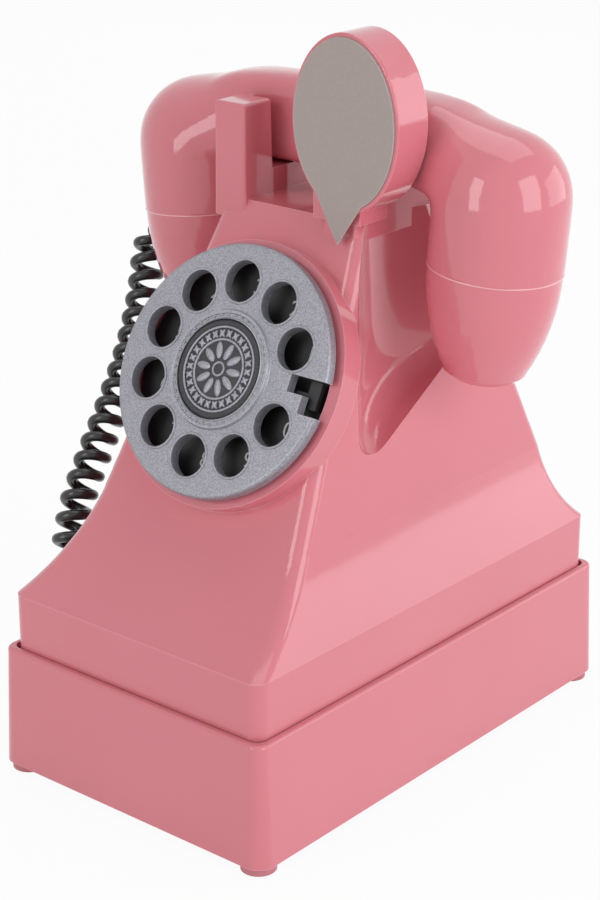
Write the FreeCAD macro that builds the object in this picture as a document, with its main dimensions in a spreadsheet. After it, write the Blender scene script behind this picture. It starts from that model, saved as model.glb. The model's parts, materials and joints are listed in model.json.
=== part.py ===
"""Upright bedroom telephone: two-step plinth, tapered hood, rotary dial, cradle, handset and curly cord.

Millimetres. The origin is on the floor under the middle of the plinth, +Z is up and the dial faces -Y.
"""
import FreeCAD
import Part
import Sketcher
import math
import os
import re
from FreeCAD import Placement, Rotation, Vector

SIZES = {
    # plinth
    "base_width": 120.0,
    "base_depth": 194.0,
    "base_corner": 6.0,
    "foot_height": 3.0,
    "foot_radius": 6.0,
    "tray_height": 43.5,
    "tray_draft": 2.3,
    "tray_lip": 3.9,
    "seat_ledge": 2.2,
    "floor_thickness": 2.6,
    "wall": 2.6,
    "rim_gap": 0.6,
    "shell_sink": 6.5,
    "step_height": 19.5,
    # hood above the step
    "flare_height": 29.5,
    "flare_knee": 9.0,
    "knee_width": 103.0,
    "knee_front": 78.5,
    "knee_rear": 84.5,
    "hood_width": 91.0,
    "hood_front": 60.5,
    "hood_rear": 77.0,
    "hood_height": 97.5,
    "deck_width": 61.0,
    "deck_front": 9.5,
    "deck_rear": 38.0,
    "hood_corner": 5.0,
    "chest_height": 20.0,
    "chimney_width": 46.0,
    # recess beside each handset cup
    "scoop_radius": 40.8,
    "scoop_x": 67.5,
    "scoop_y": 6.0,
    "scoop_floor": 129.0,
    "scoop_slope": 26.5,
    "scoop_edge": 8.0,
    # cradle
    "left_prong_x": 19.5,
    "right_prong_x": 15.0,
    "prong_width": 13.5,
    "prong_front": 12.0,
    "prong_depth": 15.5,
    "prong_height": 32.5,
    "prong_root": 6.4,
    "prong_edge": 1.2,
    "stub_height": 22.0,
    "saddle_height": 8.6,
    "saddle_rear": 35.0,
    "rear_lip": 4.5,
    "rear_lip_height": 18.0,
    # dial, measured outwards from the sloping face
    "dial_rise": 45.7,
    "boss_radius": 45.5,
    "boss_root": 3.0,
    "boss_height": 6.0,
    "well_radius": 41.0,
    "well_floor": 1.0,
    "plate_radius": 40.0,
    "plate_thickness": 1.4,
    "wheel_radius": 43.0,
    "wheel_base": 7.6,
    "wheel_thickness": 3.8,
    "hole_ring": 30.0,
    "hole_radius": 7.0,
    "hole_spacing": 34.4,
    "medallion_radius": 20.4,
    "medallion_rim": 3.4,
    "medallion_height": 1.2,
    "hub_radius": 6.5,
    "shaft_radius": 2.0,
    "bush_radius": 4.0,
    "running_gap": 0.05,
    "gear_teeth": 32.0,
    "pinion_teeth": 8.0,
    "gear_pitch_radius": 16.0,
    "gear_width": 3.0,
    "gear_level": 12.0,
    "frame_gauge": 1.6,
    "bridge_level": 14.6,
    # sign on the right prong
    "drum_x": 25.8,
    "drum_rise": 33.0,
    "drum_half_width": 21.8,
    "drum_half_height": 29.2,
    "drum_front": 15.0,
    "drum_depth": 15.3,
    "panel_rim": 1.3,
    "panel_thickness": 1.6,
    "tail_drop": 10.5,
    # handset
    "handset_y": 18.0,
    "cup_x": 63.0,
    "cup_z": 179.0,
    "cup_lean": 5.0,
    "cup_radius": 22.4,
    "cup_side": 21.5,
    "cap_height": 38.0,
    "cap_foot": 14.0,
    "cap_wall": 2.2,
    "handle_bottom": 202.0,
    "handle_height": 30.5,
    "handle_half_depth": 10.0,
    "capsule_radius": 18.5,
    "capsule_height": 10.0,
    # curly cord
    "cord_wire": 3.0,
    "cord_coil": 4.7,
    "cord_turns": 18.0,
    # small parts
    "screw_radius": 1.5,
    "screw_head": 2.8,
    "post_radius": 4.5,
    "plunger_x": 10.0,
    "plunger_radius": 2.5,
    "gong_radius": 19.0,
    "gong_x": 24.0,
    "board_width": 70.0,
    "board_depth": 56.0,
    "touch_gap": 0.3,
}

FEET = [(-53.0, -90.0), (53.0, -90.0), (-53.0, 90.0), (53.0, 90.0)]
POSTS = [(-45.0, -73.0), (45.0, -73.0), (-45.0, 77.0), (45.0, 77.0)]
DIAL_SCREWS = [(-15.5, 15.0), (15.5, 15.0), (-15.5, -25.0), (15.5, -25.0)]
BOARD_Y = 45.0
RINGER_Y = -38.0
CORD_Y = -57.0
CORD_Z = 55.0
# middle of the curls, from the handset down to the plinth
CORD_ROUTE = [
    (-92.0, 17.0, 160.5),
    (-89.5, 13.0, 150.5),
    (-86.0, 6.5, 139.5),
    (-80.5, -5.5, 125.0),
    (-76.0, -20.0, 110.0),
    (-72.5, -35.0, 94.5),
    (-69.8, -46.5, 81.5),
    (-68.0, -52.5, 69.0),
]

doc = FreeCAD.newDocument("Telephone")
sheet = doc.addObject("Spreadsheet::Sheet", "Sizes")
for row, (alias, number) in enumerate(SIZES.items(), start=1):
    sheet.set("A%d" % row, alias)
    sheet.set("B%d" % row, repr(number))
    sheet.setAlias("B%d" % row, alias)
doc.recompute()
nodes = {}


def bound(text):
    """Return an expression with every size name pointed at the sheet."""
    def aimed(word):
        return "Sizes." + word[0] if word[0] in SIZES else word[0]

    return re.sub(r"[a-z][a-z_]*", aimed, str(text))


def value(text):
    """Return the number that an expression of size names has now."""
    return float(sheet.evalExpression(bound(text)))


def keep(label, item):
    """Give a finished sub-part the name of its file."""
    item.Label = label
    nodes[label] = item
    return item


def new_body(label):
    """Start a sub-part that is built from sketches."""
    return keep(label, doc.addObject("PartDesign::Body", label))


def sketch_on(body, role, origin=("0", "0", "0"), turn=None):
    """Attach a sketch to an origin plane of its body, shifted and turned in that plane's own axes."""
    sketch = body.newObject("Sketcher::SketchObject", body.Name + "_sketch")
    plane = [item for item in body.Origin.OriginFeatures if item.Role == role][0]
    sketch.AttachmentSupport = (plane, "")
    sketch.MapMode = "FlatFace"
    sketch.AttachmentOffset = Placement(Vector(*[value(text) for text in origin]), turn or Rotation())
    for axis, text in zip("xyz", origin):
        sketch.setExpression("AttachmentOffset.Base." + axis, bound(text))
    return sketch


def pin(sketch, shape, vertex, x, y):
    """Hold a point of a sketch at two distances from the sketch's origin."""
    for kind, text, axis in (("DistanceX", x, -2), ("DistanceY", y, -1)):
        if abs(value(text)) < 1e-9:
            sketch.addConstraint(Sketcher.Constraint("PointOnObject", shape, vertex, axis))
        else:
            rule = Sketcher.Constraint(kind, -1, 1, shape, vertex, value(text))
            sketch.setExpression("Constraints[%d]" % sketch.addConstraint(rule), bound(text))


def measure(sketch, kind, shape, text):
    """Give a curve of a sketch its size."""
    index = sketch.addConstraint(Sketcher.Constraint(kind, shape, value(text)))
    sketch.setExpression("Constraints[%d]" % index, bound(text))


def circle(sketch, radius, x="0", y="0"):
    """Draw a circle."""
    centre = Vector(value(x), value(y), 0)
    shape = sketch.addGeometry(Part.Circle(centre, Vector(0, 0, 1), value(radius)), False)
    pin(sketch, shape, 3, x, y)
    measure(sketch, "Radius", shape, radius)


def outline(sketch, points):
    """Draw a closed outline of straight lines."""
    first = sketch.GeometryCount
    corners = [Vector(value(x), value(y), 0) for x, y in points]
    for start, end in zip(corners, corners[1:] + corners[:1]):
        sketch.addGeometry(Part.LineSegment(start, end), False)
    for index, (x, y) in enumerate(points):
        after = (index + 1) % len(points)
        sketch.addConstraint(Sketcher.Constraint("Coincident", first + index, 2, first + after, 1))
        pin(sketch, first + index, 1, x, y)


def rectangle(sketch, left, right, low, high):
    """Draw a rectangle with square corners."""
    outline(sketch, [(left, low), (right, low), (right, high), (left, high)])


def soft_rectangle(sketch, left, right, low, high, radius):
    """Draw a rectangle with round corners."""
    x0, x1, y0, y1, r = [value(text) for text in (left, right, low, high, radius)]
    corners = [(x1 - r, y0 + r, -90), (x1 - r, y1 - r, 0), (x0 + r, y1 - r, 90), (x0 + r, y0 + r, 180)]
    sides = [((x0 + r, y0), (x1 - r, y0)), ((x1, y0 + r), (x1, y1 - r)),
             ((x1 - r, y1), (x0 + r, y1)), ((x0, y1 - r), (x0, y0 + r))]
    for (start, end), (cx, cy, angle) in zip(sides, corners):
        sketch.addGeometry(Part.LineSegment(Vector(*start, 0), Vector(*end, 0)), False)
        ring = Part.Circle(Vector(cx, cy, 0), Vector(0, 0, 1), r)
        sketch.addGeometry(Part.ArcOfCircle(ring, math.radians(angle), math.radians(angle + 90)), False)
    for side in range(4):
        line = 2 * side
        sketch.addConstraint(Sketcher.Constraint("Tangent", line, 2, line + 1, 1))
        sketch.addConstraint(Sketcher.Constraint("Tangent", line + 1, 2, (line + 2) % 8, 1))
        sketch.addConstraint(Sketcher.Constraint("Vertical" if side % 2 else "Horizontal", line))
    for side in range(1, 4):
        sketch.addConstraint(Sketcher.Constraint("Equal", 1, 2 * side + 1))
    measure(sketch, "Radius", 1, radius)
    limits = (("DistanceY", low), ("DistanceX", right), ("DistanceY", high), ("DistanceX", left))
    for side, (kind, text) in enumerate(limits):
        rule = Sketcher.Constraint(kind, -1, 1, 2 * side, 1, value(text))
        sketch.setExpression("Constraints[%d]" % sketch.addConstraint(rule), bound(text))


def feature(body, kind, sketch, reverse=False, **sizes):
    """Add a sketched feature to a body with its sizes bound to the sheet."""
    item = body.newObject("PartDesign::" + kind, body.Name + "_" + kind)
    item.Profile = sketch
    for name, text in sizes.items():
        item.setExpression(name, bound(text))
    item.Reversed = reverse
    return item


def turned(body, kind, sketch):
    """Revolve a sketch, or groove with it, about the sketch's own upright axis."""
    item = body.newObject("PartDesign::" + kind, body.Name + "_" + kind)
    item.Profile = sketch
    item.ReferenceAxis = (sketch, ["V_Axis"])
    item.Angle = 360.0
    return item


def loft(body, kind, sections, ruled):
    """Loft through sketches."""
    item = body.newObject("PartDesign::" + kind, body.Name + "_" + kind)
    item.Profile = sections[0]
    item.Sections = sections[1:]
    item.Ruled = ruled
    return item


def fillet(body, radius, choose):
    """Round the edges of a body that a test picks."""
    doc.recompute()
    base = body.Tip
    names = ["Edge%d" % (index + 1) for index, edge in enumerate(base.Shape.Edges) if choose(edge)]
    item = body.newObject("PartDesign::Fillet", body.Name + "_Fillet")
    item.Base = (base, names)
    item.setExpression("Radius", bound(radius))
    return item


def place(item, where):
    """Put a sub-part in its place."""
    item.Placement = where
    return item


def cylinder(name, radius, height, where=Placement()):
    """Make a plain cylinder that stands on its placement."""
    item = doc.addObject("Part::Cylinder", name)
    item.setExpression("Radius", bound(radius))
    item.setExpression("Height", bound(height))
    return place(item, where)


def box(name, length, width, height, where=Placement()):
    """Make a plain box that is centred on its placement in plan."""
    item = doc.addObject("Part::Box", name)
    item.setExpression("Length", bound(length))
    item.setExpression("Width", bound(width))
    item.setExpression("Height", bound(height))
    shift = Vector(-value(length) / 2, -value(width) / 2, 0)
    return place(item, where * Placement(shift, Rotation()))


def fuse(name, pieces):
    """Join solids into one."""
    item = doc.addObject("Part::MultiFuse", name)
    item.Shapes = pieces
    return item


def cut(name, base, tool):
    """Cut one solid with another."""
    item = doc.addObject("Part::Cut", name)
    item.Base = base
    item.Tool = tool
    return item


def group(label, pieces):
    """Keep like solids together as one node."""
    item = doc.addObject("Part::Compound", label)
    item.Links = pieces
    return keep(label, item)


def at(x, y, z):
    """Return an upright placement."""
    return Placement(Vector(x, y, z), Rotation())


def screw(name, where, length, radius="screw_radius", head="screw_head"):
    """Make a pan-head screw whose shank runs up from the placement and whose head is below it."""
    shank = cylinder(name + "_shank", radius, length, where)
    cap = cylinder(name + "_head", head, "(%s) * 0.6" % head, where * at(0, 0, -value(head) * 0.6))
    return fuse(name, [shank, cap])


# levels and planes that several sub-parts share
TRAY_TOP = "(foot_height + tray_height)"
SEAT = "(foot_height + tray_height - shell_sink)"
STEP_TOP = "(foot_height + tray_height + step_height)"
KNEE = "(foot_height + tray_height + step_height + flare_knee)"
FLARE_TOP = "(foot_height + tray_height + step_height + flare_height)"
DECK = "(foot_height + tray_height + step_height + flare_height + hood_height)"
SHELL_X = "(base_width / 2 - tray_lip - rim_gap)"
SHELL_Y = "(base_depth / 2 - tray_lip - rim_gap)"
FACE_SLOPE = value("(hood_front - deck_front) / hood_height")
FACE_WALL = "(wall * %r)" % math.hypot(1.0, FACE_SLOPE)
DIAL_Y = "(dial_rise * (hood_front - deck_front) / hood_height - hood_front)"
DIAL_Z = "(foot_height + tray_height + step_height + flare_height + dial_rise)"
DIAL_TURN = Rotation(Vector(1, 0, 0), 90.0 - math.degrees(math.atan(FACE_SLOPE)))
DRUM_Z = DECK + " + drum_rise"
DIAL_PLACE = Placement(Vector(0, value(DIAL_Y), value(DIAL_Z)), DIAL_TURN)


def on_dial(x, y, level):
    """Return a placement on the dial's axes, level millimetres out from the sloping face."""
    return DIAL_PLACE * at(x, y, level)


def dial_sketch(body, level):
    """Attach a sketch square to the dial's axis."""
    sketch = sketch_on(body, "XY_Plane", turn=DIAL_TURN)
    axis = DIAL_TURN.multVec(Vector(0, 0, 1))
    sketch.AttachmentOffset = on_dial(0, 0, value(level))
    for name, text, part in (("x", "0", axis.x), ("y", DIAL_Y, axis.y), ("z", DIAL_Z, axis.z)):
        sketch.setExpression("AttachmentOffset.Base." + name, bound("%s + %r * (%s)" % (text, part, level)))
    return sketch


def make_tray():
    """Plinth tray with a drafted wall, a seat for the shell, screw posts and board posts."""
    body = new_body("base_tray")
    plan = sketch_on(body, "XY_Plane", ("0", "0", "foot_height"))
    soft_rectangle(plan, "-base_width / 2", "base_width / 2", "-base_depth / 2", "base_depth / 2",
                   "base_corner")
    feature(body, "Pad", plan, Length="tray_height", TaperAngle="-tray_draft")
    for ledge, depth in (("0", "shell_sink"), ("seat_ledge", "tray_height - floor_thickness")):
        hollow = sketch_on(body, "XY_Plane", ("0", "0", TRAY_TOP))
        x = "(base_width / 2 - tray_lip - %s)" % ledge
        y = "(base_depth / 2 - tray_lip - %s)" % ledge
        soft_rectangle(hollow, "-" + x, x, "-" + y, y, "base_corner - seat_ledge")
        feature(body, "Pocket", hollow, Length=depth)
    posts = sketch_on(body, "XY_Plane", ("0", "0", "foot_height + floor_thickness / 2"))
    for x, y in POSTS:
        circle(posts, "post_radius", repr(x), repr(y))
    feature(body, "Pad", posts, Length="tray_height - shell_sink - floor_thickness / 2")
    stands = sketch_on(body, "XY_Plane", ("0", "0", "foot_height + floor_thickness / 2"))
    for side in (-1, 1):
        for end in (-1, 1):
            circle(stands, "post_radius - 1", "%d * (board_width / 2 - 6)" % side,
                   "%r + %d * (board_depth / 2 - 6)" % (BOARD_Y, end))
    feature(body, "Pad", stands, Length="6 + floor_thickness / 2")
    ways = sketch_on(body, "XY_Plane", ("0", "0", "foot_height"))
    for x, y in POSTS:
        circle(ways, "screw_radius + 0.2", repr(x), repr(y))
    feature(body, "Pocket", ways, True, Length="tray_height")
    sinks = sketch_on(body, "XY_Plane", ("0", "0", "foot_height"))
    for x, y in POSTS:
        circle(sinks, "screw_head + 0.3", repr(x), repr(y))
    feature(body, "Pocket", sinks, True, Length="floor_thickness + 4")
    top = value(TRAY_TOP)
    reach = value("base_width / 2 - tray_lip") + 0.5
    reach_y = value("base_depth / 2 - tray_lip") + 0.5

    def outer_rim(edge):
        limits = edge.BoundBox
        level = abs(limits.ZMin - top) < 0.01 and abs(limits.ZMax - top) < 0.01
        return level and (max(limits.XMax, -limits.XMin) > reach or max(limits.YMax, -limits.YMin) > reach_y)

    fillet(body, "tray_lip / 3", outer_rim)
    feet = [cylinder("foot", "foot_radius", "foot_height", at(x, y, 0)) for x, y in FEET]
    group("base_feet", feet)
    start = value("foot_height + floor_thickness + 4")
    screws = [screw("base_screw", at(x, y, start), "tray_height - shell_sink + 6") for x, y in POSTS]
    group("base_screws", screws)


def hood_limits(above, inset):
    """Return the hood's half width, front and rear at a height above the flare, moved in by a wall."""
    share = "((%s) / hood_height)" % above
    half = "(hood_width / 2 - (hood_width - deck_width) / 2 * %s - %s)" % (share, inset)
    front = "(hood_front - (hood_front - deck_front) * %s - %s)" % (share, FACE_WALL if inset != "0" else "0")
    rear = "(hood_rear - (hood_rear - deck_rear) * %s - %s)" % (share, inset)
    return half, front, rear


def plan_section(body, level, half, front, rear, radius):
    """Draw one level of the hood."""
    sketch = sketch_on(body, "XY_Plane", ("0", "0", level))
    soft_rectangle(sketch, "-" + half, half, "-" + front, rear, radius)
    return sketch


def hood_loft(body, kind, inset, top_above):
    """Loft the concave flare and the straight hood, or the hollow inside them."""
    corner = "hood_corner" if inset == "0" else "(hood_corner - wall)"
    drop = "" if inset == "0" else " - wall"
    low = plan_section(body, STEP_TOP + drop, "(%s - %s)" % (SHELL_X, inset), "(%s - %s)" % (SHELL_Y, inset),
                       "(%s - %s)" % (SHELL_Y, inset), corner)
    knee = plan_section(body, KNEE + drop, "(knee_width / 2 - %s)" % inset, "(knee_front - %s)" % inset,
                        "(knee_rear - %s)" % inset, corner)
    half, front, rear = hood_limits("0", inset)
    waist = plan_section(body, FLARE_TOP, half, front, rear, corner)
    loft(body, kind, [low, knee, waist], False)
    half, front, rear = hood_limits(top_above, inset)
    base = plan_section(body, FLARE_TOP, *hood_limits("0", inset), corner)
    top = plan_section(body, FLARE_TOP + " + " + top_above, half, front, rear, corner)
    loft(body, kind, [base, top], True)


def make_shell():
    """Moulded upper housing: step, flared hood, dial boss, cradle prongs and side scoops."""
    body = doc.addObject("PartDesign::Body", "shell_moulding")
    step = sketch_on(body, "XY_Plane", ("0", "0", SEAT))
    soft_rectangle(step, "-" + SHELL_X, SHELL_X, "-" + SHELL_Y, SHELL_Y, "hood_corner")
    feature(body, "Pad", step, Length="shell_sink + step_height")
    hood_loft(body, "AdditiveLoft", "0", "hood_height")
    boss = dial_sketch(body, "-boss_root")
    circle(boss, "boss_radius")
    feature(body, "Pad", boss, Length="boss_root + boss_height")
    lower = sketch_on(body, "XY_Plane", ("0", "0", SEAT))
    soft_rectangle(lower, "-(%s - wall)" % SHELL_X, "%s - wall" % SHELL_X, "-(%s - wall)" % SHELL_Y,
                   "%s - wall" % SHELL_Y, "hood_corner - wall")
    feature(body, "Pocket", lower, True, Length="shell_sink + step_height - wall")
    hood_loft(body, "SubtractiveLoft", "wall", "chest_height")
    front, rear = hood_limits("chest_height", "wall")[1:]
    base = plan_section(body, FLARE_TOP + " + chest_height", "(chimney_width / 2)", front, rear, "2.0")
    front, rear = hood_limits("(hood_height - wall)", "wall")[1:]
    roof = plan_section(body, DECK + " - wall", "(chimney_width / 2 - wall)", front, rear, "2.0")
    loft(body, "SubtractiveLoft", [base, roof], True)
    well = dial_sketch(body, "boss_height")
    circle(well, "well_radius")
    feature(body, "Pocket", well, Length="boss_height - well_floor")
    way = dial_sketch(body, "well_floor")
    circle(way, "bush_radius + running_gap")
    feature(body, "Pocket", way, Length="well_floor + wall + 4")
    pilots = dial_sketch(body, "-wall - 1")
    for x, y in DIAL_SCREWS:
        circle(pilots, "screw_radius - 0.2", repr(x), repr(y))
    feature(body, "Pocket", pilots, True, Length="wall + 0.6")
    plungers = sketch_on(body, "XY_Plane", ("0", "0", DECK))
    for side in (-1, 1):
        circle(plungers, "plunger_radius + running_gap", "%d * plunger_x" % side, "handset_y")
    feature(body, "Pocket", plungers, Length="wall * 2")
    posts = sketch_on(body, "XY_Plane", ("0", "0", SEAT))
    for x, y in POSTS:
        circle(posts, "post_radius", repr(x), repr(y))
    feature(body, "Pad", posts, Length="shell_sink + step_height + flare_knee * 0.8")
    holes = sketch_on(body, "XY_Plane", ("0", "0", SEAT))
    for x, y in POSTS:
        circle(holes, "screw_radius + 0.05", repr(x), repr(y))
    feature(body, "Pocket", holes, True, Length="shell_sink + step_height - wall")
    for role, shift, centre in (("YZ_Plane", "-" + SHELL_X, CORD_Y), ("XZ_Plane", "-" + SHELL_Y, 0.0)):
        window = sketch_on(body, role, ("0", "0", shift))
        rectangle(window, "%r - 7" % centre, "%r + 7" % centre, "%r - 6" % CORD_Z, "%r + 6" % CORD_Z)
        feature(body, "Pocket", window, True, Length="wall + 1")
    finish_shell(body)


def cradle_arm(name, side, inner, prong_top):
    """Make one arm of the cradle: front prong, saddle for the handle and low lip behind it."""
    body = doc.addObject("PartDesign::Body", name)
    left = inner if side > 0 else "-%s - prong_width" % inner
    profile = sketch_on(body, "YZ_Plane", ("0", DECK, left))
    behind = "(prong_depth - prong_front)"
    lip_front = "saddle_rear - rear_lip"
    outline(profile, [("-prong_front", "-prong_root"), ("saddle_rear", "-prong_root"),
                      ("saddle_rear", "rear_lip_height"), (lip_front, "rear_lip_height"),
                      (lip_front, "saddle_height"), (behind, "saddle_height"),
                      (behind + " - 0.8", prong_top), ("-prong_front + 0.6", prong_top)])
    feature(body, "Pad", profile, Length="prong_width")
    low = value(DECK + " + saddle_height") + 0.1
    fillet(body, "prong_edge", lambda edge: edge.BoundBox.ZMax > low)
    return body


def scoop(side):
    """Make the tool for one scoop: an upright round shaft with a soft-edged floor that rises to the rear."""
    slope = Rotation(Vector(1, 0, 0), value("scoop_slope"))
    centre = Vector(side * value("scoop_x"), value("scoop_y"), value("scoop_floor"))
    outward = Rotation(Vector(0, 0, 1), 90.0 - 90.0 * side)
    foot = Placement(centre, outward) * at(0, 0, -value("scoop_floor") / 2)
    shaft = cylinder("scoop_shaft", "scoop_radius", DECK + " + prong_height - scoop_floor / 2", foot)
    below = box("scoop_below", "scoop_radius * 2.4", "scoop_radius * 4", "scoop_floor * 2",
                Placement(centre, slope) * at(0, 0, -2 * value("scoop_floor")))
    recess = cut("scoop_recess", shaft, below)
    doc.recompute()
    curves = [edge.Curve.TypeId for edge in recess.Shape.Edges]
    radius = value("scoop_edge")
    soft = doc.addObject("Part::Fillet", "scoop")
    soft.Base = recess
    soft.Edges = [(index, radius, radius) for index, kind in enumerate(curves, 1)
                  if kind == "Part::GeomEllipse"]
    return soft


def finish_shell(body):
    """Cut the scoops from the moulding and raise the cradle on its deck."""
    cleared = cut("shell_cleared", cut("shell_left", body, scoop(-1)), scoop(1))
    arms = [cradle_arm("left_arm", -1, "left_prong_x", "prong_height"),
            cradle_arm("right_arm", 1, "right_prong_x", "stub_height")]
    keep("body_shell", fuse("body_shell", [cleared] + arms))


def make_sign():
    """Drum that sleeves over the right prong, with a flat panel and its tail in front."""
    body = new_body("sign_drum")
    face = sketch_on(body, "XZ_Plane", ("drum_x", DRUM_Z, "drum_front"))
    oval(face, "drum_half_width", "drum_half_height")
    feature(body, "Pad", face, True, Length="drum_depth")
    neck = sketch_on(body, "XY_Plane", ("0", "0", DECK + " + touch_gap"))
    rectangle(neck, "right_prong_x - 3", "right_prong_x + prong_width + 3", "-drum_front + 1.5",
              "drum_depth - drum_front")
    feature(body, "Pad", neck, Length="drum_half_height / 2")
    socket = sketch_on(body, "XY_Plane", ("0", "0", DECK + " + touch_gap"))
    rectangle(socket, "right_prong_x - 0.1", "right_prong_x + prong_width + 0.1", "-prong_front - 0.1",
              "drum_depth - drum_front + 5")
    feature(body, "Pocket", socket, True, Length="stub_height - touch_gap")
    rest = sketch_on(body, "XZ_Plane", ("drum_x", DRUM_Z, "drum_front"))
    oval(rest, "drum_half_width - panel_rim", "drum_half_height - panel_rim")
    feature(body, "Pocket", rest, Length="panel_thickness / 2")
    wide = 2 * value("drum_half_width") - 0.1
    fillet(body, "panel_rim / 2", lambda edge: edge.BoundBox.XLength > wide and edge.BoundBox.YLength < 0.1)
    panel = new_body("sign_panel")
    plate = sketch_on(panel, "XZ_Plane", ("drum_x", DRUM_Z, "drum_front - panel_thickness / 2"))
    oval(plate, "drum_half_width - panel_rim - 0.1", "drum_half_height - panel_rim - 0.1")
    feature(panel, "Pad", plate, Length="panel_thickness")
    tail = sketch_on(panel, "XZ_Plane", ("drum_x", DRUM_Z, "drum_front + touch_gap / 2"))
    outline(tail, [("-drum_half_width * 0.62", "-drum_half_height * 0.66"),
                   ("-2.0", "-drum_half_height - tail_drop"),
                   ("drum_half_width * 0.42", "-drum_half_height * 0.80")])
    feature(panel, "Pad", tail, Length="(panel_thickness - touch_gap) / 2")


def oval(sketch, half_width, half_height):
    """Draw an upright ellipse about the sketch's origin."""
    wide = value(half_width)
    tall = value(half_height)
    shape = sketch.addGeometry(Part.Ellipse(Vector(0, tall, 0), Vector(wide, 0, 0), Vector(0, 0, 0)), False)
    sketch.exposeInternalGeometry(shape)
    sketch.addConstraint(Sketcher.Constraint("Coincident", shape, 3, -1, 1))
    major = shape + 1
    minor = shape + 2
    sketch.addConstraint(Sketcher.Constraint("Vertical", major))
    for line, text in ((major, "2 * (%s)" % half_height), (minor, "2 * (%s)" % half_width)):
        measure(sketch, "Distance", line, text)


def make_dial():
    """Number plate, finger stop, finger wheel with its medallion, and the bush that carries them."""
    plate = new_body("number_plate")
    disc = sketch_on(plate, "XY_Plane", ("0", "0", "well_floor"))
    circle(disc, "plate_radius")
    circle(disc, "bush_radius + running_gap")
    feature(plate, "Pad", disc, Length="plate_thickness")
    place(plate, DIAL_PLACE)
    stop = new_body("finger_stop")
    foot = sketch_on(stop, "XY_Plane", ("0", "0", "well_floor + plate_thickness"))
    tip = "hole_ring - hole_radius"
    outline(foot, [(tip, "-4.5"), ("plate_radius - 1.5", "-4.5"), ("plate_radius - 1.5", "4.5"),
                   ("plate_radius - 6", "4.5"), ("plate_radius - 6", "0.5"), (tip, "0.5")])
    feature(stop, "Pad", foot, Length="wheel_base - well_floor - plate_thickness - 0.8")
    place(stop, DIAL_PLACE)
    wheel = new_body("finger_wheel")
    rim = sketch_on(wheel, "XY_Plane", ("0", "0", "wheel_base"))
    circle(rim, "wheel_radius")
    feature(wheel, "Pad", rim, Length="wheel_thickness")
    fillet(wheel, "wheel_thickness / 3", lambda edge: edge.BoundBox.ZMin > value("wheel_base") + 1)
    hub = sketch_on(wheel, "XY_Plane", ("0", "0", "wheel_base"))
    circle(hub, "hub_radius")
    feature(wheel, "Pad", hub, True, Length="wheel_base - well_floor - plate_thickness - 2")
    bore = sketch_on(wheel, "XY_Plane", ("0", "0", "wheel_base + wheel_thickness"))
    circle(bore, "shaft_radius + 0.02")
    feature(wheel, "Pocket", bore, Length="wheel_base + wheel_thickness")
    notch = sketch_on(wheel, "XY_Plane", ("0", "0", "wheel_base + wheel_thickness"))
    mouth = "wheel_radius + 2"
    knee = "wheel_radius * 0.82"
    heel = "wheel_radius * 0.67"
    outline(notch, [(knee, "-7.0"), (mouth, "-7.0"), (mouth, "5.0"), (heel, "5.0"), (heel, "-1.0"),
                    (knee, "-1.0")])
    feature(wheel, "Pocket", notch, Length="wheel_thickness + 0.1")
    first = sketch_on(wheel, "XY_Plane", ("0", "0", "wheel_base + wheel_thickness"))
    angle = math.radians((360.0 - 9 * value("hole_spacing")) / 2)
    circle(first, "hole_radius", "hole_ring * %r" % math.cos(angle), "hole_ring * %r" % math.sin(angle))
    hole = feature(wheel, "Pocket", first, Length="wheel_thickness + 0.1")
    ring = wheel.newObject("PartDesign::PolarPattern", "finger_holes")
    ring.Originals = [hole]
    ring.Axis = ([item for item in wheel.Origin.OriginFeatures if item.Role == "Z_Axis"][0], [""])
    ring.setExpression("Angle", bound("hole_spacing * 9"))
    ring.Occurrences = 10
    wheel.Tip = ring
    place(wheel, DIAL_PLACE)
    make_medallion()
    bush = new_body("dial_bush")
    half = sketch_on(bush, "XZ_Plane")
    top = "well_floor + plate_thickness"
    inner = "shaft_radius + running_gap"
    low = "-wall - frame_gauge"
    outline(half, [(inner, low), ("bush_radius", low), ("bush_radius", top), ("hub_radius", top),
                   ("hub_radius", top + " + 1.2"), (inner, top + " + 1.2")])
    turned(bush, "Revolution", half)
    place(bush, DIAL_PLACE)
    end = "(bridge_level + frame_gauge + 5)"
    keep("dial_shaft", cylinder("dial_shaft", "shaft_radius", end + " + wheel_base + wheel_thickness - 0.3",
                                on_dial(0, 0, -value(end))))


def make_medallion():
    """Stepped ring and low dome in the middle of the wheel."""
    top = "(wheel_base + wheel_thickness)"
    ring = new_body("medallion_ring")
    half = sketch_on(ring, "XZ_Plane")
    inner = "(medallion_radius - medallion_rim)"
    crest = top + " + medallion_height"
    dip = top + " + 0.6"
    outline(half, [(inner, top), ("medallion_radius", top), ("medallion_radius - 0.6", crest),
                   ("medallion_radius - 1.4", crest), ("medallion_radius - 1.8", dip), (inner + " + 0.6", dip),
                   (inner, crest)])
    turned(ring, "Revolution", half)
    place(ring, DIAL_PLACE)
    cap = new_body("medallion_cap")
    low_dome = sketch_on(cap, "XZ_Plane")
    edge = "(medallion_radius - medallion_rim - 0.1)"
    outline(low_dome, [("0", top), (edge, top), (edge, top + " + 0.5"), (edge + " - 0.8", crest),
                       (edge + " - 2.0", crest), (edge + " - 2.6", dip), ("0", crest)])
    turned(cap, "Revolution", low_dome)
    place(cap, DIAL_PLACE)


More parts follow.
